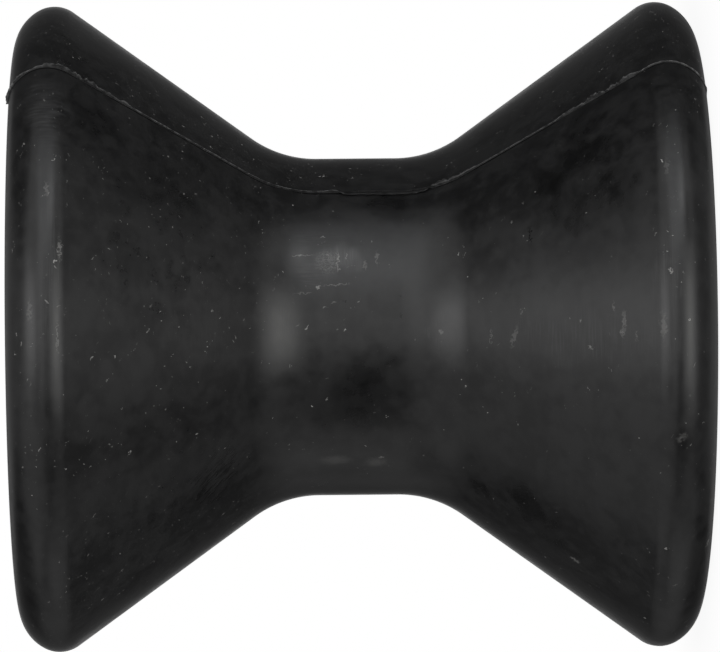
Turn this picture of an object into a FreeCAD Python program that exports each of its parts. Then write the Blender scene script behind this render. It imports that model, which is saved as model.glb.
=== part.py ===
import FreeCAD, Part
import math
import os
import Sketcher

# Bow roller of a boat trailer: one solid moulding of black rubber with a V groove round its middle.
# It stands on one flat end. Z is the axis of its bore, and the origin is on that axis, half way
# between the ends. The mould parts on the XZ plane, and leaves its line of flash there on the +X
# and -X sides. Lengths are in millimetres.
SIZES = {
    "roller_length": 101.6,
    "crest_diameter": 96.9,
    "throat_diameter": 50.6,
    "throat_flat_width": 11.75,
    "throat_fillet_radius": 16.75,
    "crest_arc_radius": 4.8,
    "crest_turn_degrees": 28.4,
    "rim_width": 5.86,
    "bore_diameter": 13.1,
    "bore_chamfer": 0.8,
    "flash_height": 0.3,
    "flash_angle_degrees": 0.3,
}

doc = FreeCAD.newDocument("BowRoller")
sheet = doc.addObject("Spreadsheet::Sheet", "Sizes")
for row, (alias, value) in enumerate(SIZES.items(), start=1):
    sheet.set("A" + str(row), alias)
    sheet.set("B" + str(row), str(value))
    sheet.setAlias("B" + str(row), alias)
doc.recompute()


def size(alias):
    """The value that the sheet holds under this alias."""
    return float(sheet.get(alias))


def origin_plane(owner, role):
    """One of the body's own base planes."""
    return next(item for item in owner.Origin.OriginFeatures if item.Role == role)


def sketch_on(owner, name, role):
    """A new sketch of the body, lying on one of its base planes."""
    sketch = owner.newObject("Sketcher::SketchObject", name)
    sketch.AttachmentSupport = [(origin_plane(owner, role), "")]
    sketch.MapMode = "FlatFace"
    return sketch


def dimension(sketch, name, constraint, expression):
    """A named dimension of the sketch, bound to the sheet."""
    index = sketch.addConstraint(constraint)
    sketch.renameConstraint(index, name)
    sketch.setExpression("Constraints." + name, expression)


def point(radial, axial):
    """A point of a section: its distance from the roller's axis and its height along it."""
    return FreeCAD.Vector(radial, axial, 0)


def polar(centre, radius, angle):
    """The point at this angle, in degrees, on a circle of the section."""
    turn = math.radians(angle)
    return centre + point(math.cos(turn), math.sin(turn)) * radius


def line(start, end):
    return Part.LineSegment(start, end)


def arc(centre, radius, start, end):
    """An anticlockwise arc of the section, from start to end in degrees."""
    circle = Part.Circle(centre, FreeCAD.Vector(0, 0, 1), radius)
    return Part.ArcOfCircle(circle, math.radians(start), math.radians(end))


# A sketch numbers a curve's points, and counts its own axes and the borrowed curves down from -1.
START, END, CENTRE = range(1, 4)
RADIAL_AXIS = -1
BORROWED = range(-3, -6, -1)
SKETCH_ORIGIN = (RADIAL_AXIS, START)

# The upper half of the roller's section. The throat's fillet and the crest's arc have the flank as
# their common tangent, and the shoulder's arc leads from the crest into the flat end.
bore_radius = size("bore_diameter") / 2
throat_radius = size("throat_diameter") / 2
half_length = size("roller_length") / 2
half_flat = size("throat_flat_width") / 2
chamfer = size("bore_chamfer")
fillet_radius = size("throat_fillet_radius")
crest_radius = size("crest_arc_radius")
crest_turn = size("crest_turn_degrees")
turn_sine = math.sin(math.radians(crest_turn))
shoulder_radius = (size("rim_width") - crest_radius * turn_sine) / (1 - turn_sine)
fillet_centre = point(throat_radius + fillet_radius, half_flat)
crest_centre = point(size("crest_diameter") / 2 - crest_radius, half_length - size("rim_width"))
shoulder_centre = polar(crest_centre, crest_radius - shoulder_radius, crest_turn)
centre_line = crest_centre - fillet_centre
centre_line_angle = math.degrees(math.atan2(centre_line.y, centre_line.x))
tangent_angle = math.degrees(math.acos((fillet_radius + crest_radius) / centre_line.Length))
flank_normal = centre_line_angle + tangent_angle - 180

roller = doc.addObject("PartDesign::Body", "roller")
roller.Label = "roller"
roller.Placement = FreeCAD.Placement()

section = sketch_on(roller, "RollerSection", "XZ_Plane")
bore_foot = point(bore_radius, 0)
bore_top = point(bore_radius, half_length - chamfer)
chamfer_top = point(bore_radius + chamfer, half_length)
throat_foot = point(throat_radius, 0)
throat_top = point(throat_radius, half_flat)
flank_foot = polar(fillet_centre, fillet_radius, 180 + flank_normal)
flank_top = polar(crest_centre, crest_radius, flank_normal)
crest_end = polar(crest_centre, crest_radius, crest_turn)
shoulder_end = polar(shoulder_centre, shoulder_radius, 90)
middle = section.addGeometry(line(bore_foot, throat_foot))
throat = section.addGeometry(line(throat_foot, throat_top))
fillet = section.addGeometry(arc(fillet_centre, fillet_radius, 180 + flank_normal, 180))
flank = section.addGeometry(line(flank_foot, flank_top))
crest = section.addGeometry(arc(crest_centre, crest_radius, flank_normal, crest_turn))
shoulder = section.addGeometry(arc(shoulder_centre, shoulder_radius, crest_turn, 90))
end_face = section.addGeometry(line(shoulder_end, chamfer_top))
bore_edge = section.addGeometry(line(chamfer_top, bore_top))
bore_wall = section.addGeometry(line(bore_top, bore_foot))
turn_line = section.addGeometry(line(crest_centre, crest_end), True)
section.addConstraint([
    Sketcher.Constraint("Coincident", middle, END, throat, START),
    Sketcher.Constraint("Tangent", throat, END, fillet, END),
    Sketcher.Constraint("Tangent", fillet, START, flank, START),
    Sketcher.Constraint("Tangent", flank, END, crest, START),
    Sketcher.Constraint("Tangent", crest, END, shoulder, START),
    Sketcher.Constraint("Tangent", shoulder, END, end_face, START),
    Sketcher.Constraint("Coincident", end_face, END, bore_edge, START),
    Sketcher.Constraint("Coincident", bore_edge, END, bore_wall, START),
    Sketcher.Constraint("Coincident", bore_wall, END, middle, START),
    Sketcher.Constraint("Coincident", turn_line, START, crest, CENTRE),
    Sketcher.Constraint("Coincident", turn_line, END, crest, END),
    Sketcher.Constraint("PointOnObject", middle, START, RADIAL_AXIS),
    Sketcher.Constraint("Horizontal", middle),
    Sketcher.Constraint("Vertical", throat),
    Sketcher.Constraint("Horizontal", end_face),
    Sketcher.Constraint("Vertical", bore_wall),
])
dimension(
    section, "bore_radius",
    Sketcher.Constraint("DistanceX", *SKETCH_ORIGIN, bore_wall, END, bore_radius),
    "Sizes.bore_diameter / 2",
)
dimension(
    section, "throat_radius",
    Sketcher.Constraint("DistanceX", *SKETCH_ORIGIN, throat, START, throat_radius),
    "Sizes.throat_diameter / 2",
)
dimension(
    section, "half_flat",
    Sketcher.Constraint("DistanceY", throat, START, throat, END, half_flat),
    "Sizes.throat_flat_width / 2",
)
dimension(
    section, "fillet_radius",
    Sketcher.Constraint("Radius", fillet, fillet_radius),
    "Sizes.throat_fillet_radius",
)
dimension(
    section, "crest_arc",
    Sketcher.Constraint("Radius", crest, crest_radius),
    "Sizes.crest_arc_radius",
)
dimension(
    section, "crest_reach",
    Sketcher.Constraint("DistanceX", *SKETCH_ORIGIN, crest, CENTRE, crest_centre.x),
    "Sizes.crest_diameter / 2 - Sizes.crest_arc_radius",
)
dimension(
    section, "crest_turn",
    Sketcher.Constraint("Angle", turn_line, math.radians(crest_turn)),
    "Sizes.crest_turn_degrees * 1 deg",
)
dimension(
    section, "half_length",
    Sketcher.Constraint("DistanceY", *SKETCH_ORIGIN, end_face, START, half_length),
    "Sizes.roller_length / 2",
)
dimension(
    section, "rim_width",
    Sketcher.Constraint("DistanceY", crest, CENTRE, end_face, START, size("rim_width")),
    "Sizes.rim_width",
)
dimension(
    section, "chamfer_radial",
    Sketcher.Constraint("DistanceX", bore_edge, END, bore_edge, START, chamfer),
    "Sizes.bore_chamfer",
)
dimension(
    section, "chamfer_axial",
    Sketcher.Constraint("DistanceY", bore_edge, END, bore_edge, START, chamfer),
    "Sizes.bore_chamfer",
)
doc.recompute()

upper_half = roller.newObject("PartDesign::Revolution", "UpperHalf")
upper_half.Profile = section
upper_half.ReferenceAxis = (section, ["V_Axis"])
upper_half.Angle = 360
doc.recompute()

# The flash is a thin fin that follows the section a little outside it. Its sketch borrows the arcs'
# centres from the section, and reaches into the solid so that the fin grows out of it. The fin ends
# flush with the flat end, so that the roller stands on the whole face.
flash_height = size("flash_height")
fin_root = (bore_radius + throat_radius) / 2
shoulder_stop = math.degrees(math.asin(shoulder_radius / (shoulder_radius + flash_height)))

fin = sketch_on(roller, "FlashOutline", "XZ_Plane")
for curve in (fillet, crest, shoulder):
    fin.addExternal(section.Name, "Edge" + str(curve + 1))
section_fillet, section_crest, section_shoulder = BORROWED
fin_throat_foot = point(throat_radius + flash_height, 0)
fin_throat_top = point(throat_radius + flash_height, half_flat)
fin_flank_foot = polar(fillet_centre, fillet_radius - flash_height, 180 + flank_normal)
fin_flank_top = polar(crest_centre, crest_radius + flash_height, flank_normal)
fin_shoulder_end = polar(shoulder_centre, shoulder_radius + flash_height, shoulder_stop)
fin_middle = fin.addGeometry(line(point(fin_root, 0), fin_throat_foot))
fin_throat = fin.addGeometry(line(fin_throat_foot, fin_throat_top))
fin_fillet = fin.addGeometry(arc(fillet_centre, fillet_radius - flash_height, 180 + flank_normal, 180))
fin_flank = fin.addGeometry(line(fin_flank_foot, fin_flank_top))
fin_crest = fin.addGeometry(arc(crest_centre, crest_radius + flash_height, flank_normal, crest_turn))
fin_shoulder = fin.addGeometry(
    arc(shoulder_centre, shoulder_radius + flash_height, crest_turn, shoulder_stop)
)
fin_end = fin.addGeometry(line(fin_shoulder_end, point(fin_root, half_length)))
fin_inside = fin.addGeometry(line(point(fin_root, half_length), point(fin_root, 0)))
fin.addConstraint([
    Sketcher.Constraint("Coincident", fin_middle, END, fin_throat, START),
    Sketcher.Constraint("Tangent", fin_throat, END, fin_fillet, END),
    Sketcher.Constraint("Tangent", fin_fillet, START, fin_flank, START),
    Sketcher.Constraint("Tangent", fin_flank, END, fin_crest, START),
    Sketcher.Constraint("Tangent", fin_crest, END, fin_shoulder, START),
    Sketcher.Constraint("Coincident", fin_shoulder, END, fin_end, START),
    Sketcher.Constraint("Coincident", fin_end, END, fin_inside, START),
    Sketcher.Constraint("Coincident", fin_inside, END, fin_middle, START),
    Sketcher.Constraint("Coincident", fin_fillet, CENTRE, section_fillet, CENTRE),
    Sketcher.Constraint("Coincident", fin_crest, CENTRE, section_crest, CENTRE),
    Sketcher.Constraint("Coincident", fin_shoulder, CENTRE, section_shoulder, CENTRE),
    Sketcher.Constraint("PointOnObject", fin_middle, START, RADIAL_AXIS),
    Sketcher.Constraint("Horizontal", fin_middle),
    Sketcher.Constraint("Vertical", fin_throat),
    Sketcher.Constraint("Horizontal", fin_end),
    Sketcher.Constraint("Vertical", fin_inside),
])
dimension(
    fin, "fin_fillet",
    Sketcher.Constraint("Radius", fin_fillet, fillet_radius - flash_height),
    "Sizes.throat_fillet_radius - Sizes.flash_height",
)
dimension(
    fin, "fin_crest",
    Sketcher.Constraint("Radius", fin_crest, crest_radius + flash_height),
    "Sizes.crest_arc_radius + Sizes.flash_height",
)
dimension(
    fin, "fin_root",
    Sketcher.Constraint("DistanceX", *SKETCH_ORIGIN, fin_inside, END, fin_root),
    "(Sizes.bore_diameter + Sizes.throat_diameter) / 4",
)
dimension(
    fin, "fin_top",
    Sketcher.Constraint("DistanceY", *SKETCH_ORIGIN, fin_end, START, half_length),
    "Sizes.roller_length / 2",
)
doc.recompute()

flash = roller.newObject("PartDesign::Revolution", "Flash")
flash.Profile = fin
flash.ReferenceAxis = (fin, ["V_Axis"])
flash.Midplane = True
flash.setExpression("Angle", "Sizes.flash_angle_degrees * 1 deg")
doc.recompute()

opposite_flash = roller.newObject("PartDesign::Mirrored", "OppositeFlash")
opposite_flash.Originals = [flash]
opposite_flash.MirrorPlane = (origin_plane(roller, "YZ_Plane"), [""])
roller.Tip = opposite_flash
doc.recompute()

lower_half = roller.newObject("PartDesign::Mirrored", "LowerHalf")
lower_half.TransformMode = "Whole shape"
lower_half.MirrorPlane = (origin_plane(roller, "XY_Plane"), [""])
roller.Tip = lower_half
doc.recompute()

for item in doc.Objects:
    if "Invalid" in item.State or "Error" in item.State:
        raise RuntimeError(item.Name + " failed: " + str(item.State))
for sketch in (section, fin):
    if not sketch.FullyConstrained:
        raise RuntimeError(sketch.Name + " isn't fully constrained")

os.makedirs("parts", exist_ok=True)
for part in [item for item in doc.Objects if item.TypeId == "PartDesign::Body"]:
    if part.Shape.isNull() or not part.Shape.isValid() or len(part.Shape.Solids) != 1:
        raise RuntimeError(part.Label + " isn't one valid solid")
    part.Shape.exportStep("parts/" + part.Label + ".step")
    box = part.Shape.optimalBoundingBox()
    print(part.Label, "volume", round(part.Shape.Volume, 1), "mm3, faces", len(part.Shape.Faces))
    print("box", round(box.XLength, 3), round(box.YLength, 3), round(box.ZLength, 3))
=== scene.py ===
import math
import bmesh
import bpy
from mathutils import Matrix, Vector, noise


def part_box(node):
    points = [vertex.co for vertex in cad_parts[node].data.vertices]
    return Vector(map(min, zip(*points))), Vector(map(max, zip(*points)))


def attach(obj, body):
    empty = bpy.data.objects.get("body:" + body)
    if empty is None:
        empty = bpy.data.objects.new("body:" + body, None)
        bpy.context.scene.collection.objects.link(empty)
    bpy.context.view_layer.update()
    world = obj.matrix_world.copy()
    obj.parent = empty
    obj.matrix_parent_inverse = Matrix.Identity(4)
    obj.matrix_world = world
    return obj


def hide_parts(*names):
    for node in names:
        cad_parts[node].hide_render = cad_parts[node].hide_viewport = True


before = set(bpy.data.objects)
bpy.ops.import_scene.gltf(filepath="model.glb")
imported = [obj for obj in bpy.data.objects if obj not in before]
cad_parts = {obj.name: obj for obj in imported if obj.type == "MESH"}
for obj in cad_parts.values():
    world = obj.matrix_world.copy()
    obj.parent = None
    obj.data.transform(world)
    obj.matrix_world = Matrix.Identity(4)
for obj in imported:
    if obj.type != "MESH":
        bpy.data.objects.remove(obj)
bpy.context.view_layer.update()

# The roller is one solid moulding of black rubber: a V groove between two rounded rims, and a plain
# bore for its shaft. The mould is a split one, so the outline is swept through half a turn and
# mirrored on the parting plane, XZ. A narrow strip on each side of that plane will carry the flash.
lowest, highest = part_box("roller")
half_length = highest.z
rim_reach = highest.y
throat_reach = 0.0253
half_throat_flat = 0.005875
throat_fillet = 0.01675
crest_arc = 0.0048
crest_turn = math.radians(28.4)
rim_width = 0.00586
bore_reach = 0.00655
bore_chamfer = 0.0008
flash_half_turn = math.radians(0.15)
beside_flash_turn = math.radians(0.6)
columns_in_half_turn = 82
throat_steps = 22
fillet_steps = 40
flank_steps = 118
crest_steps = 26
shoulder_steps = 30
end_steps = 9
chamfer_steps = 2
bore_steps = 7
touching = 1e-6

shoulder_arc = (rim_width - crest_arc * math.sin(crest_turn)) / (1 - math.sin(crest_turn))
fillet_centre = Vector((throat_reach + throat_fillet, 0, half_throat_flat))
crest_centre = Vector((rim_reach - crest_arc, 0, half_length - rim_width))
between_arcs = crest_centre - fillet_centre
tangent_angle = math.acos((throat_fillet + crest_arc) / between_arcs.length)
flank_angle = math.pi - math.atan2(between_arcs.z, between_arcs.x) - tangent_angle


def out_and_up(angle):
    """The direction at this angle above the parting plane's X axis."""
    return Vector((math.cos(angle), 0, math.sin(angle)))


def straight(bm, tip, end, steps):
    """Draws the outline on from its tip to the end in equal steps, and returns the new tip."""
    step = (end - tip.co) / steps
    for _ in range(steps):
        tip = bmesh.ops.extrude_vert_indiv(bm, verts=[tip])["verts"][0]
        bmesh.ops.translate(bm, verts=[tip], vec=step)
    return tip


def bend(bm, tip, centre, angle, steps):
    """Draws the outline on from its tip along an arc about the centre, and returns the new tip."""
    turned = bmesh.ops.spin(bm, geom=[tip], cent=centre, axis=(0, 1, 0), angle=angle, steps=steps)
    return next(item for item in turned["geom_last"] if isinstance(item, bmesh.types.BMVert))


moulding = bmesh.new()
shoulder_centre = crest_centre + out_and_up(crest_turn) * (crest_arc - shoulder_arc)
tip = moulding.verts.new((throat_reach, 0, 0))
tip = straight(moulding, tip, Vector((throat_reach, 0, half_throat_flat)), throat_steps)
tip = bend(moulding, tip, fillet_centre, flank_angle, fillet_steps)
tip = straight(moulding, tip, crest_centre + out_and_up(-flank_angle) * crest_arc, flank_steps)
tip = bend(moulding, tip, crest_centre, -(flank_angle + crest_turn), crest_steps)
tip = bend(moulding, tip, shoulder_centre, crest_turn - math.pi / 2, shoulder_steps)
tip = straight(moulding, tip, Vector((bore_reach + bore_chamfer, 0, half_length)), end_steps)
tip = straight(moulding, tip, Vector((bore_reach, 0, half_length - bore_chamfer)), chamfer_steps)
tip = straight(moulding, tip, Vector((bore_reach, 0, 0)), bore_steps)
half_outline = moulding.verts[:] + moulding.edges[:]
bmesh.ops.mirror(moulding, geom=half_outline, axis="Z", merge_dist=touching)
sweeps = [
    (flash_half_turn, 1),
    (beside_flash_turn, 1),
    (math.pi - 2 * (flash_half_turn + beside_flash_turn), columns_in_half_turn),
    (beside_flash_turn, 1),
    (flash_half_turn, 1),
]
outline = moulding.edges[:]
for angle, columns in sweeps:
    round_the_bore = {"cent": (0, 0, 0), "axis": (0, 0, 1), "angle": angle, "steps": columns}
    outline = bmesh.ops.spin(moulding, geom=outline, **round_the_bore)["geom_last"]
half_moulding = moulding.verts[:] + moulding.edges[:] + moulding.faces[:]
bmesh.ops.mirror(moulding, geom=half_moulding, axis="Y", merge_dist=touching)
bmesh.ops.recalc_face_normals(moulding, faces=moulding.faces)
moulding.normal_update()

# The flash is a thin fin of rubber, left along both lines where the mould's halves met. Most of it was
# trimmed to a low ridge. On the +X side some stretches were torn or folded over instead, and these
# are named in their order from the upper end.
MM = 0.001
# Height, lean and raggedness in millimetres, and how pale the rubber is.
trimmed_flash = (0.14, 0, 0.10, 0.8)
# Where each stretch starts and ends, in millimetres above the middle, and then the same four.
torn_flash = {
    "skin_hanging_from_upper_shoulder": (51.5, 50.2, 0.42, -0.22, 0.60, 12.0),
    "skin_lying_on_upper_shoulder": (50.2, 48.2, 0.18, 0.45, 0.35, 1.6),
    "low_ridge_over_upper_crest": (48.2, 46.4, 0.15, 0.00, 0.05, 1.2),
    "fold_over_upper_crest": (46.4, 40.9, 0.19, 0.55, 0.30, 0.9),
    "double_edge_below_it": (40.9, 37.4, 0.18, 0.52, 0.55, 1.4),
    "dashes_on_upper_flank": (37.4, 32.4, 0.17, 0.16, 0.60, 1.2),
    "long_ridge_on_upper_flank": (32.4, 15.5, 0.15, 0.00, 0.10, 2.4),
    "thick_ridge_into_throat": (15.5, 4.4, 0.25, -0.06, 0.12, 1.2),
    "bead_in_throat": (4.4, 2.6, 0.48, -0.10, 0.30, 1.0),
    "flap_hanging_in_throat": (2.6, -10.6, 0.30, -0.90, 0.08, 0.1),
    "torn_end_of_flap": (-10.6, -13.6, 0.34, 0.45, 0.70, 0.3),
    "end_of_tear": (-13.6, -17.5, 0.24, 0.20, 0.40, 0.8),
    "long_ridge_on_lower_flank": (-17.5, -29.4, 0.12, 0.00, 0.06, 0.8),
    "double_edge_on_lower_flank": (-29.4, -33.6, 0.18, 0.35, 0.55, 1.3),
    "ragged_fold_on_lower_flank": (-33.6, -40.2, 0.20, 0.60, 0.70, 1.4),
    "low_ridge_over_lower_crest": (-40.2, -48.4, 0.16, 0.04, 0.10, 0.9),
    "skin_on_lower_shoulder": (-48.4, -51.5, 0.20, 0.10, 0.35, 10.0),
}
stretch_overlap = 1.4
teeth_in_a_millimetre = 1.1
small_teeth_in_a_millimetre = 3.3
small_tooth_share = 0.6
tooth_height = 0.35
tooth_depth_in_lean = 1.3
fully_ragged = 1 / 2.2
least_lean_kept = 0.12
least_height = 0.03


def flash_shape(point):
    """The flash's height and lean, in millimetres, and its paleness, at a point of the seam."""
    shape = list(trimmed_flash)
    if point.x > 0:
        for top, bottom, *torn in torn_flash.values():
            inside = min(top - point.z / MM, point.z / MM - bottom)
            share = max(0, min(1, inside / stretch_overlap + 0.5))
            changes = [(there - plain) * share for there, plain in zip(torn, trimmed_flash)]
            shape = [now + change for now, change in zip(shape, changes)]
    height, lean, raggedness, paleness = shape
    along = Vector((point.x, 0, point.z)) / MM
    tooth = noise.noise(along * teeth_in_a_millimetre)
    tooth += small_tooth_share * noise.noise(along * small_teeth_in_a_millimetre)
    tear = tooth * min(1, raggedness / fully_ragged)
    kept_lean = lean * max(least_lean_kept, 1 + tooth_depth_in_lean * tear)
    return max(least_height, height + tooth_height * raggedness * tooth), kept_lean, paleness


def on_seam(face):
    """True for the faces of the narrow strip on the groove, the rims and the shoulders."""
    middle = face.calc_center_median()
    reach_there = math.hypot(middle.x, middle.y)
    outside = reach_there > throat_reach - MM and abs(middle.z) < half_length - touching
    return outside and abs(middle.y) < reach_there * flash_half_turn


seam_faces = [face for face in moulding.faces if on_seam(face)]
outward = moulding.verts.layers.float_vector.new("outward")
on_flash = moulding.verts.layers.float.new("on_flash")
for corner in {corner for face in seam_faces for corner in face.verts}:
    corner[outward] = corner.normal
# The shares that each level of the fin has of the height, of what a lean takes off the height, of
# the lean, of the strip's width and of the paleness.
fin_levels = {
    "above_foot": (0.70, 0.0, 0.05, 0.85, 0.1),
    "at_bend": (1.00, 0.0, 0.45, 0.60, 0.2),
    "at_edge": (1.00, 0.3, 1.00, 0.35, 1.0),
}
raised_levels = []
for shares in fin_levels.values():
    seam_edges = list(dict.fromkeys(edge for face in seam_faces for edge in face.edges))
    raised = bmesh.ops.extrude_face_region(moulding, geom=seam_faces + seam_edges)["geom"]
    seam_faces = [item for item in raised if isinstance(item, bmesh.types.BMFace)]
    corners = [item for item in raised if isinstance(item, bmesh.types.BMVert)]
    raised_levels.append((corners, *shares))
for corners, rise, droop, sway, width, pale_share in raised_levels:
    for corner in corners:
        if not corner.is_valid:
            continue
        height, lean, paleness = flash_shape(corner.co)
        rise_there = rise - droop * min(1, abs(lean))
        corner.co.y = corner.co.y * width + lean * sway * MM
        corner.co += corner[outward] * height * rise_there * MM
        corner.co.z = max(corner.co.z, lowest.z)
        corner[on_flash] = min(1, paleness * pale_share)
moulding.verts.layers.float_vector.remove(outward)
moulding.normal_update()
for face in moulding.faces:
    face.smooth = True
roller_mesh = bpy.data.meshes.new("roller_rubber")
moulding.to_mesh(roller_mesh)
moulding.free()
sharp_edge = math.radians(38)
roller_mesh.set_sharp_from_angle(angle=sharp_edge)
roller = bpy.data.objects.new("roller_rubber", roller_mesh)
bpy.context.scene.collection.objects.link(roller)
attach(roller, "root")
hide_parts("roller")

# The rubber is plain and black, straight from the mould and a little dusty: satin and faintly
# mottled, with darker, smoother patches, pale dust and fibres, and fine scuffs. Shade is painted
# under the flap in the throat, along the foot of the seam and as dark dots beside the dust, and a
# painted highlight widens the bright patch in the throat. Its patterns are laid out in millimetres,
# some of them on the surface as unrolled from the seam on the +X side.


class Field:
    """A value, colour or vector of a material. Arithmetic on values adds the nodes that work it out."""

    def __init__(self, socket):
        self.socket = socket

    def node(self, kind, settings=None, inputs=None, output=0):
        """Adds a node: its settings first, then the values or links of its sockets."""
        nodes = self.socket.id_data.nodes
        made = nodes.new("ShaderNode" + kind)
        for name, value in (settings or {}).items():
            setattr(made, name, value)
        for name, value in (inputs or {}).items():
            if isinstance(value, Field):
                self.socket.id_data.links.new(value.socket, made.inputs[name])
            else:
                made.inputs[name].default_value = value
        return Field(made.outputs[output])

    def other(self, output):
        """Another output of the same node."""
        return Field(self.socket.node.outputs[output])

    def maths(self, operation, *values):
        return self.node("Math", {"operation": operation}, dict(enumerate(values)))

    def vector_maths(self, operation, *values, output="Vector"):
        return self.node("VectorMath", {"operation": operation}, dict(enumerate(values)), output)

    def __add__(self, other):
        return self.maths("ADD", self, other)

    __radd__ = __add__

    def __sub__(self, other):
        return self.maths("SUBTRACT", self, other)

    def __rsub__(self, other):
        return self.maths("SUBTRACT", other, self)

    def __mul__(self, other):
        return self.maths("MULTIPLY", self, other)

    __rmul__ = __mul__

    def or_more(self, other):
        return self.maths("MAXIMUM", self, other)

    def ramp(self, start, end):
        """0 at start and 1 at end, with a smooth way between them."""
        limits = {"Value": self, "From Min": start, "From Max": end}
        return self.node("MapRange", {"interpolation_type": "SMOOTHSTEP"}, limits)

    def painted(self, mask, over):
        """This colour, with another one over it where the mask is 1."""
        return self.node("Mix", {"data_type": "RGBA"}, {0: mask, 6: self, 7: over}, 2)


black_rubber = bpy.data.materials.new("black_rubber")
black_rubber.use_nodes = True
rubber_nodes = black_rubber.node_tree
shader = rubber_nodes.nodes["Principled BSDF"]
place = Field(shader.outputs["BSDF"]).node("TexCoord", output="Object")
place = place.vector_maths("MULTIPLY", place, (1 / MM, 1 / MM, 1 / MM))
sideways = place.node("SeparateXYZ", None, {0: place})
depth, up = sideways.other("Y"), sideways.other("Z")
mean_reach = 37.0
turn = sideways.maths("ARCTAN2", depth, sideways)
unrolled = turn.node("CombineXYZ", None, {0: turn * mean_reach, 1: up})
outwards = place.vector_maths("NORMALIZE", place.vector_maths("MULTIPLY", place, (1, 1, 0)))
flank_foot = (half_throat_flat + throat_fillet * math.tan(flank_angle / 2)) / MM


def reach_at(height):
    """The surface's reach from the axis at this height, in millimetres, near enough for a mark."""
    on_flank = throat_reach / MM + (abs(height) - flank_foot) * math.tan(flank_angle)
    return min(rim_reach / MM, max(throat_reach / MM, on_flank))


def cloud(where, size, detail=2.0, roughness=0.5, output="Fac"):
    """Soft noise from 0 to 1, whose patches are about this many millimetres across."""
    settings = {"Vector": where, "Scale": 1 / size, "Detail": detail, "Roughness": roughness}
    return where.node("TexNoise", None, settings, output)


def drift(size):
    """A small way aside, that changes over about this many millimetres."""
    aside = cloud(place, size, 1.0, 0.5, "Color")
    return aside.vector_maths("SUBTRACT", aside, (0.5, 0.5, 0.5))


def strayed(where, aside, most):
    """The place moved aside a little, so that what is laid out on it has ragged edges."""
    return where.vector_maths("MULTIPLY_ADD", aside, most, where)


def streaks(where, tilt, length, width):
    """Fine streaks from 0 to 1, of about this length and width, at this tilt from the way round."""
    laid = where.node("Mapping", {"vector_type": "TEXTURE"}, {
        "Vector": where, "Rotation": (0, 0, math.radians(tilt)), "Scale": (length, width, 1),
    })
    return cloud(laid, 1.0, 2.0, 0.6)


def spot(where, degrees, height, half_round, half_up, tilt=0, soft=0.6):
    """1 at a place, by its degrees round from the seam and its height, and 0 past its half sizes."""
    stretch = mean_reach / reach_at(height)
    lengthwise = Vector((math.cos(math.radians(tilt)) * stretch, math.sin(math.radians(tilt))))
    crosswise = Vector((math.sin(math.radians(tilt)) * stretch, math.cos(math.radians(tilt))))
    local = where.node("Mapping", {"vector_type": "TEXTURE"}, {
        "Vector": where,
        "Location": (math.radians(degrees) * mean_reach, height, 0),
        "Rotation": (0, 0, math.atan2(lengthwise.y, lengthwise.x)),
        "Scale": (half_round * lengthwise.length, half_up * crosswise.length, 1),
    })
    inwards = local.node("TexGradient", {"gradient_type": "SPHERICAL"}, {"Vector": local}, "Fac")
    return inwards.ramp(0, soft)


def spots(where, places):
    """All of these named places together, each with its own strength as its last number."""
    together = None
    for *where_and_size, strength in places.values():
        one = spot(where, *where_and_size) * strength
        together = one.or_more(together) if together else one
    return together


smallest_speck = 0.4
faintest_speck = 0.06
strongest_speck = 1.4


def specks(spacing, size, share, lengthening=1, turned=(0, 0, 0)):
    """Small marks, one to a cell, some faint and some strong, in this share of the cells."""
    laid = speck_place.node("Mapping", {"vector_type": "TEXTURE"}, {
        "Vector": speck_place,
        "Rotation": [math.radians(angle) for angle in turned],
        "Scale": (1, 1, lengthening),
    })
    cells = laid.node("TexVoronoi", None, {"Vector": laid, "Scale": 1 / spacing}, "Distance")
    chance = cells.node("SeparateColor", None, {0: cells.other("Color")})
    bigger, stronger = chance.other("Green"), chance.other("Blue")
    strength = bigger * stronger
    reach = bigger * (1 - smallest_speck) + smallest_speck
    inside = (reach - cells * (2 * spacing / size)).ramp(0, 0.35)
    strength = strength * strength * strongest_speck + faintest_speck
    return chance.maths("LESS_THAN", chance, share) * inside * strength


mottle = cloud(place, 9.0, 3.0, 0.6)
flow = cloud(place, 2.4, 2.0, 0.65)
ragged = strayed(unrolled, drift(3.0), (7, 7, 0))
fine_drift = drift(0.45)
broken = strayed(unrolled, fine_drift, (1.3, 1.3, 0))
speck_place = strayed(place, fine_drift, (0.8, 0.8, 0.8))
level_place = place.vector_maths("MULTIPLY", place, (0, 0, 4.5))
round_place = outwards.vector_maths("MULTIPLY_ADD", outwards, (7, 7, 0), level_place)
round_streaks = cloud(round_place, 1.0, 2.0, 0.6)
slanting_streaks = streaks(unrolled, -50, 2.6, 0.42)
level_streaks = streaks(unrolled, 90, 3.4, 0.30)

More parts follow.
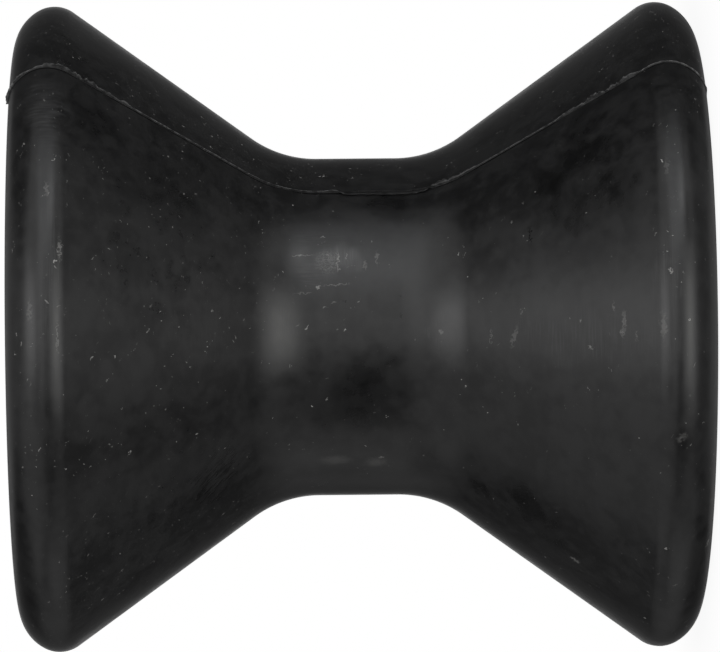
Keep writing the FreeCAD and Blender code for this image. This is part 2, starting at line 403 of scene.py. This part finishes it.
# Darker, smoother patches. The one under the flap is a painted shadow that the flap casts on the
# throat.
# Each place has its degrees round from the seam, its height, its half sizes round and up, its tilt,
# its softness and its strength.
dark_places = {
    "in_throat": (-70, -0.7, 7.4, 5.7, -30, 0.95, 0.72),
    "below_it_in_throat": (-83, 1.5, 5.4, 6.5, -40, 0.95, 0.65),
    "shadow_under_flap": (-5.8, -4.6, 2.4, 8.2, 0, 1.0, 0.6),
    "lower_flank_core": (-14, -33.0, 4.8, 6.4, -24, 1.0, 0.95),
    "lower_flank_left": (-18, -28.0, 5.2, 5.0, 0, 1.0, 0.8),
    "lower_flank_right": (-26, -36.0, 7.4, 4.8, 22, 1.0, 0.95),
    "lower_flank_under": (-28, -31.5, 6.0, 6.0, 0, 1.0, 0.8),
    "underneath_lower_flank": (-101.5, -24.7, 11.0, 4.6, 38, 1.0, 0.9),
    "underneath_lower_fillet": (-104.5, -18.0, 2.4, 2.2, 0, 0.9, 0.9),
    "upper_flank_by_seam": (-22, 27.5, 10.0, 8.0, 20, 0.9, 0.5),
    "upper_flank_higher": (-10, 37.0, 4.0, 6.0, 0, 0.9, 0.5),
    "underneath_throat": (-119, 5.0, 1.6, 2.2, 0, 0.8, 0.6),
}
darkness_and_shade = spots(ragged, dark_places) * (slanting_streaks.ramp(0.25, 0.62) * 0.25 + 0.75)
streaky_place = spot(ragged, -92, 20.5, 9.0, 7.0, -40, 0.9)
darkness_and_shade = darkness_and_shade.or_more(streaky_place * slanting_streaks.ramp(0.56, 0.42) * 0.8)
# Dark dots, painted as the shade beside raised specks of dust.
speck_shade_places = {
    "upper_flank": (-34, 29.0, 16.0, 13.0, 0, 0.7, 1.0),
    "upper_rim_by_seam": (6, 41.5, 10.0, 5.5, 0, 0.8, 1.0),
    "lower_flank_by_seam": (-8, -31.0, 7.0, 12.0, 0, 0.9, 0.8),
    "lower_rim": (-8, -43.0, 9.0, 4.0, 0, 0.9, 0.8),
    "upper_flank_underneath": (-88, 29.0, 16.0, 12.0, 0, 0.9, 0.8),
}
speck_shade_dots = spots(ragged, speck_shade_places) * cloud(place, 2.0, 2.0, 0.6).ramp(0.46, 0.70)
darkness_and_shade = darkness_and_shade.or_more(speck_shade_dots * 0.6)
dark_slits = {
    "upright_slit_on_lower_flank": (-30.0, -24.6, 2.3, 0.30, 0, 0.8, 0.8),
    "slit_in_throat": (-43.2, 2.1, 0.12, 0.45, 0, 0.6, 0.8),
    "slit_beside_it": (-41.5, -6.0, 0.35, 0.15, 0, 0.6, 0.7),
    "slit_below_that": (-48.2, -6.0, 0.60, 0.12, 0, 0.6, 0.7),
}
darkness_and_shade = darkness_and_shade.or_more(spots(broken, dark_slits))
# A dark line painted beside the seam, 0.36 mm to the -Y side, as shade at the foot of the flash.
shade_line_under_seam = 0.36
from_shade_line = depth + shade_line_under_seam
painted_shade_line = from_shade_line.maths("ABSOLUTE", from_shade_line).ramp(0.24, 0.08)
darkness_and_shade = darkness_and_shade.or_more(painted_shade_line * mottle.ramp(0.36, 0.55) * 0.9)

scuffed_places = {
    "throat_under_flash": (-29, 3.6, 3.4, 5.6, 0, 0.8, 0.8),
    "lower_flank": (-54, -31.0, 4.6, 13.5, 0, 0.8, 0.5),
    "lower_rim": (-47, -43.2, 13.0, 2.6, 0, 0.8, 0.5),
    "upper_rim": (-42, 43.8, 20.0, 3.0, 0, 0.8, 0.35),
    "lower_fillet": (-54, -11.6, 3.0, 1.6, 0, 0.8, 0.6),
    "upper_fillet": (-50, 11.6, 2.6, 1.5, 0, 0.8, 0.6),
    "upper_flank": (-50, 22.0, 9.0, 12.0, 0, 0.9, 0.12),
}
scuffs = spots(ragged, scuffed_places) * round_streaks.ramp(0.45, 0.72)
level_scuffs = {
    "upper_rim_by_seam": (-11, 45.0, 8.0, 4.6, 0, 0.9, 0.8),
    "throat_under_flash": (-34, 7.0, 3.6, 4.0, 0, 0.8, 1.0),
    "throat_above_that": (-20, 6.0, 2.0, 5.0, 0, 0.8, 0.5),
}
scuffs = scuffs.or_more(spots(ragged, level_scuffs) * level_streaks.ramp(0.36, 0.74) * 0.8)
# A pale patch in the throat, painted to widen the highlight there.
painted_throat_highlight = spot(ragged, -28.5, 3.4, 3.6, 5.6, 0, 0.9)

pale_marks = {
    "scratch_in_throat": (-27.5, 8.4, 0.12, 1.9, 12, 0.6, 0.55),
    "scratch_below_it": (-37.6, 3.4, 0.11, 2.4, 9, 0.6, 0.35),
    "nick_at_its_end": (-38.5, 5.9, 0.38, 0.26, -30, 0.6, 0.60),
    "upright_scratch": (-29.7, 3.1, 2.1, 0.13, 0, 0.6, 0.55),
    "short_scratch": (-27.7, 1.9, 0.7, 0.12, 0, 0.6, 0.35),
    "faint_scratch": (-28.5, -2.6, 1.6, 0.20, 0, 0.6, 0.22),
    "fainter_scratch": (-31.0, -0.9, 1.1, 0.25, 0, 0.6, 0.20),
    "curl_above_scratches": (-20.4, 5.2, 0.13, 0.45, 0, 0.6, 0.50),
    "streak_below_scratches": (-40.5, 8.2, 0.15, 1.8, 3, 0.6, 0.18),
    "nick_in_throat": (-43.7, 3.7, 0.12, 0.5, 15, 0.6, 0.30),
    "smear_low_in_throat": (-102.5, 3.7, 1.5, 3.1, 8, 0.9, 0.10),
    "smear_beside_it": (-104.0, -2.4, 1.6, 2.1, -10, 0.9, 0.11),
    "edge_of_that_smear": (-101.3, -3.3, 0.15, 0.6, -20, 0.6, 0.40),
    "rubbed_stroke": (-54.7, -22.1, 2.3, 0.40, -16, 0.8, 0.17),
    "short_stroke": (-48.5, -23.2, 0.6, 0.18, -20, 0.6, 0.15),
    "scuff_on_lower_flank": (-51.3, -37.2, 2.4, 0.36, 0, 0.9, 0.25),
    "scuff_beside_it": (-53.2, -37.0, 0.9, 0.26, 10, 0.9, 0.35),
    "crumb_on_lower_flank": (-56.3, -32.6, 0.45, 0.40, 0, 0.6, 0.50),
    "thin_scuff": (-53.7, -38.9, 1.0, 0.14, 0, 0.6, 0.22),
    "scuff_on_lower_rim": (-52.0, -42.6, 2.6, 0.55, 0, 0.8, 0.20),
    "crumb_on_lower_rim": (-42.7, -43.7, 0.25, 0.34, 0, 0.6, 0.60),
    "crumb_beside_it": (-43.0, -45.5, 0.16, 0.34, 0, 0.6, 0.35),
    "smear_on_lower_rim": (-71.2, -45.2, 0.7, 1.1, 10, 0.8, 0.16),
    "fibre_on_lower_shoulder": (-95.8, -49.9, 0.75, 0.22, -20, 0.6, 0.60),
    "flecks_on_upper_rim": (-38.2, 42.7, 2.2, 0.30, 0, 0.9, 0.45),
    "fleck_on_upper_crest": (-27.4, 44.6, 1.5, 0.40, 0, 0.9, 0.22),
    "rubbed_band_on_upper_rim": (-48.3, 47.0, 2.2, 0.40, 0, 0.8, 0.16),
    "nick_in_lower_fillet": (-53.7, -11.8, 0.5, 0.35, 0, 0.6, 0.30),
    "rubbed_line_on_upper_rim": (-53.2, 43.1, 2.5, 0.20, 0, 0.6, 0.30),
    "tick_in_throat": (-45.2, 5.1, 0.15, 0.45, 0, 0.6, 0.35),
    "stroke_by_lower_fillet": (-55.0, -18.9, 1.6, 0.12, 0, 0.6, 0.20),
    "stroke_on_lower_flank": (-48.2, -35.9, 1.2, 0.12, 0, 0.6, 0.25),
    "hair_over_lower_rim": (22.5, -41.6, 0.12, 1.2, 25, 0.6, 0.50),
    "end_of_that_hair": (21.3, -43.6, 0.12, 0.9, -30, 0.6, 0.45),
    "dust_on_lower_rim": (-24.0, -43.6, 2.0, 0.40, 0, 0.9, 0.12),
    "dust_under_lower_flank": (-112.0, -31.4, 0.6, 0.8, 0, 0.9, 0.35),
}
marked = spots(broken, pale_marks)
edges_of_cells = {"feature": "DISTANCE_TO_EDGE"}
cells_in_a_millimetre = 1.7
crazing = {"Vector": broken, "Scale": cells_in_a_millimetre}
crazing = broken.node("TexVoronoi", edges_of_cells, crazing, "Distance")
crazed_place = spot(broken, -29.7, 4.6, 2.4, 2.2)
marked = marked.or_more(crazed_place * crazing.ramp(0.14, 0.02) * 0.22)

rim = up.maths("ABSOLUTE", up).ramp(41.0, 44.0)
dusty = up.ramp(-6.0, 16.0).or_more(rim) * 0.42 + 0.22
dusty = dusty * (cloud(place, 7.0).ramp(0.42, 0.58) * 0.8 + 0.2) + turn.ramp(0.0, 0.2) * 0.4
dust = specks(0.80, 0.28, dusty * 0.65)
dust = dust.or_more(specks(1.6, 0.40, dusty))
fibres = specks(0.62, 0.24, dusty, 6, (0, 128, 38))
fibres = fibres.or_more(specks(0.75, 0.24, dusty, 4, (0, 60, 50)))

torn_rubber = place.node("Attribute", {"attribute_name": "on_flash"}, None, "Fac")
torn_rubber = torn_rubber.or_more(depth.maths("ABSOLUTE", depth).ramp(0.20, 0.10) * 0.15)
torn_rubber = torn_rubber * (cloud(place, 0.7, 1.0).ramp(0.36, 0.64) * 0.85 + 0.15)

rubber_black = (0.0060, 0.0060, 0.0062, 1)
rubber_grey = (0.0125, 0.0125, 0.0127, 1)
deep_black_and_shade = (0.0025, 0.0025, 0.0026, 1)
scuff_and_highlight_grey = (0.080, 0.080, 0.081, 1)
torn_grey = (0.19, 0.19, 0.19, 1)
dust_grey = (0.32, 0.315, 0.305, 1)
mottled = {0: (mottle * 0.55 + flow * 0.45).ramp(0.40, 0.60), 6: rubber_black, 7: rubber_grey}
colour = mottle.node("Mix", {"data_type": "RGBA"}, mottled, 2)
# Darker patches and painted shade, in deep black.
colour = colour.painted(darkness_and_shade, deep_black_and_shade)
# The scuffs, and the painted highlight in the throat, in a paler grey.
colour = colour.painted(scuffs * 0.45 + painted_throat_highlight * 0.6, scuff_and_highlight_grey)
colour = colour.painted(torn_rubber, torn_grey)
colour = colour.painted(marked, dust_grey)
colour = colour.painted(fibres * 0.8, dust_grey)
colour = colour.painted(dust, dust_grey)

satin = 0.34
roughness = satin + (mottle - 0.5) * 0.12 + (flow - 0.5) * 0.14 - darkness_and_shade * 0.14
roughness = roughness + scuffs * 0.15 + torn_rubber * 0.2 + marked * 0.3
grain = cloud(place, 0.35, 1.0) * 0.0040
ripple = cloud(place, 2.8, 1.0) * 0.024
waviness = cloud(place, 9.0, 0.0) * 0.05
relief = grain + ripple + waviness
bump = relief.node("Bump", None, {"Strength": 1.0, "Distance": MM, "Height": relief})
rubber_nodes.links.new(colour.socket, shader.inputs["Base Color"])
rubber_nodes.links.new(roughness.socket, shader.inputs["Roughness"])
rubber_nodes.links.new(bump.socket, shader.inputs["Normal"])
roller_mesh.materials.append(black_rubber)

# The camera stands level with the roller, at the photograph's distance, and is turned on its side,
# so that the roller's axis lies level in the picture with its upper end on the left.
picture_width = 720
picture_middle = (360, 326)
axis_middle = (357.01, 326.66)
metres_per_pixel = 0.00015049
camera_distance = 5176 * metres_per_pixel
seam_from_camera = math.radians(51.7)
towards_upper_end = math.radians(0.931)
axis_tilt = math.radians(0.506)
sensor_width = 36

towards_camera = Vector((math.cos(seam_from_camera), -math.sin(seam_from_camera), 0))
picture_up = Vector((math.sin(seam_from_camera), math.cos(seam_from_camera), 0))
picture_right = Vector((0, 0, -1))
eye = towards_camera * math.cos(towards_upper_end) - picture_right * math.sin(towards_upper_end)
eye *= camera_distance
aim = picture_right * (picture_middle[0] - axis_middle[0]) * metres_per_pixel
aim += picture_up * (axis_middle[1] - picture_middle[1]) * metres_per_pixel
back = (eye - aim).normalized()
level_right = (picture_right - back * picture_right.dot(back)).normalized()
level_up = back.cross(level_right)
camera_right = level_right * math.cos(axis_tilt) - level_up * math.sin(axis_tilt)
camera_up = level_up * math.cos(axis_tilt) + level_right * math.sin(axis_tilt)
camera_data = bpy.data.cameras.new("camera")
camera_data.lens = sensor_width * camera_distance / metres_per_pixel / picture_width
camera_data.sensor_width = sensor_width
camera = bpy.data.objects.new("camera", camera_data)
bpy.context.scene.collection.objects.link(camera)
camera_axes = Matrix((camera_right, camera_up, back)).transposed().to_4x4()
camera.matrix_world = Matrix.Translation(eye) @ camera_axes
bpy.context.scene.camera = camera

# The lamps are large soft boxes in a ring round the roller. Each one faces it, from its own angle to
# the picture's right and its own lift towards the picture's top.
lamp_distance = 2.5
# Degrees to the right and upwards, two half angles in degrees, and the brightness.
soft_boxes = {
    "strip_at_left": (-48, 0, 18, 13, 2.3),
    "high_at_left": (-52, 33, 18, 30, 0.72),
    "far_left": (-88, 0, 20, 14, 0.38),
    "behind_at_left": (-132, 0, 22, 14, 0.30),
    "behind_at_right": (132, 0, 22, 14, 0.26),
    "tall_strip_in_middle": (-14, -3, 9, 28, 0.85),
    "over_middle": (-7, 19, 20, 29, 0.7),
    "at_right": (39, -1, 23, 23, 1.45),
    "strip_at_right": (38, -1, 10, 14, 1.65),
    "far_right": (92, 6, 30, 30, 0.16),
    "overhead": (3, 50, 23, 23, 1.0),
    "small_at_upper_right": (27, 45, 7, 6, 3.2),
    "high_at_right": (60, 42, 9, 13, 0.8),
    "low_at_left": (-62, -43, 30, 28, 0.4),
    "low_at_right": (74, -66, 23, 30, 0.28),
}
for name, (aside, lift, half_width, half_height, brightness) in soft_boxes.items():
    turned, lifted = math.radians(aside), math.radians(lift)
    level = towards_camera * math.cos(turned) + picture_right * math.sin(turned)
    lamp_direction = level * math.cos(lifted) + picture_up * math.sin(lifted)
    lamp_data = bpy.data.lights.new(name, "AREA")
    lamp_data.shape = "RECTANGLE"
    lamp_data.size = 2 * lamp_distance * math.tan(math.radians(half_width))
    lamp_data.size_y = 2 * lamp_distance * math.tan(math.radians(half_height))
    lamp_data.energy = brightness * math.pi * lamp_data.size * lamp_data.size_y
    lamp = bpy.data.objects.new(name, lamp_data)
    lamp.visible_camera = False
    bpy.context.scene.collection.objects.link(lamp)
    lamp_side = picture_up.cross(lamp_direction).normalized()
    lamp_upright = lamp_direction.cross(lamp_side)
    facing = Matrix((lamp_side, lamp_upright, lamp_direction)).transposed().to_4x4()
    lamp.matrix_world = Matrix.Translation(lamp_direction * lamp_distance) @ facing
faintly_yellow = (1, 1, 0.94)
faintly_blue = (0.96, 0.98, 1)
bpy.data.lights["strip_at_right"].color = faintly_yellow
bpy.data.lights["overhead"].color = faintly_blue

# The floor is a pale table top. Near the roller it shows the roller's shadow, and further out it
# fades into the white background. Light from below passes through it, as through a glass table.
floor_half_width = 6
shadow_reach = 0.053
white_reach = 0.09
shadow_depth = 0.10
floor_mesh = bpy.data.meshes.new("floor")
floor_form = bmesh.new()
bmesh.ops.create_grid(floor_form, x_segments=1, y_segments=1, size=floor_half_width)
bmesh.ops.translate(floor_form, verts=floor_form.verts, vec=(0, 0, lowest.z))
floor_form.to_mesh(floor_mesh)
floor_form.free()
floor = bpy.data.objects.new("floor", floor_mesh)
bpy.context.scene.collection.objects.link(floor)
floor.visible_shadow = False
floor.visible_glossy = False
table_top = bpy.data.materials.new("table_top")
table_top.use_nodes = True
table_nodes = table_top.node_tree
table_nodes.nodes.remove(table_nodes.nodes["Principled BSDF"])
table_output = table_nodes.nodes["Material Output"]
on_table = Field(table_output.inputs["Surface"]).node("TexCoord", output="Object")
from_roller = on_table.vector_maths("LENGTH", on_table, output="Value")
plain_top = on_table.node("BsdfDiffuse", None, {"Color": (0.8, 0.8, 0.8, 1)})
white_top = on_table.node("Emission", None, {"Color": (1, 1, 1, 1), "Strength": 1.0})
past_shadow = 1 - shadow_depth + from_roller.ramp(shadow_reach, white_reach) * shadow_depth
whiteness = on_table.node("LightPath", None, None, "Is Camera Ray") * past_shadow
top_surface = on_table.node("MixShader", None, {0: whiteness, 1: plain_top, 2: white_top})
table_nodes.links.new(top_surface.socket, table_output.inputs["Surface"])
floor_mesh.materials.append(table_top)

# The background is white. It also stands behind and below the roller as a white sweep that the
# rubber reflects at its edges, and the side that the camera is on is a dim room.
world = bpy.data.worlds.new("studio")
bpy.context.scene.world = world
world.use_nodes = True
world_nodes = world.node_tree
background = world_nodes.nodes["Background"]
looking = Field(background.outputs["Background"]).node("TexCoord", output="Generated")
behind = looking.vector_maths("DOT_PRODUCT", looking, -towards_camera, output="Value")
below = looking.vector_maths("DOT_PRODUCT", looking, -picture_up, output="Value")
white_sweep = behind.ramp(0.95, 0.99)
dim_room = 0.027
sweep_behind = behind.ramp(0.80, 0.97) * 0.11
sweep_above = (behind * 0.77 - below * 0.64).ramp(0.72, 0.92) * 0.03
sweep_below = (below + behind * 0.35).ramp(0.80, 1.0) * 0.18
dim_sweep = dim_room + sweep_behind + sweep_above + sweep_below
camera_ray = looking.node("LightPath", None, None, "Is Camera Ray")
seen_white = camera_ray.or_more(camera_ray.other("Is Transmission Ray"))
seen_white = seen_white.or_more(camera_ray.other("Is Glossy Ray") * white_sweep)
brightness_there = seen_white.or_more(dim_sweep)
background.inputs["Color"].default_value = (1, 1, 1, 1)
world_nodes.links.new(brightness_there.socket, background.inputs["Strength"])

bpy.context.scene.view_settings.view_transform = "Standard"
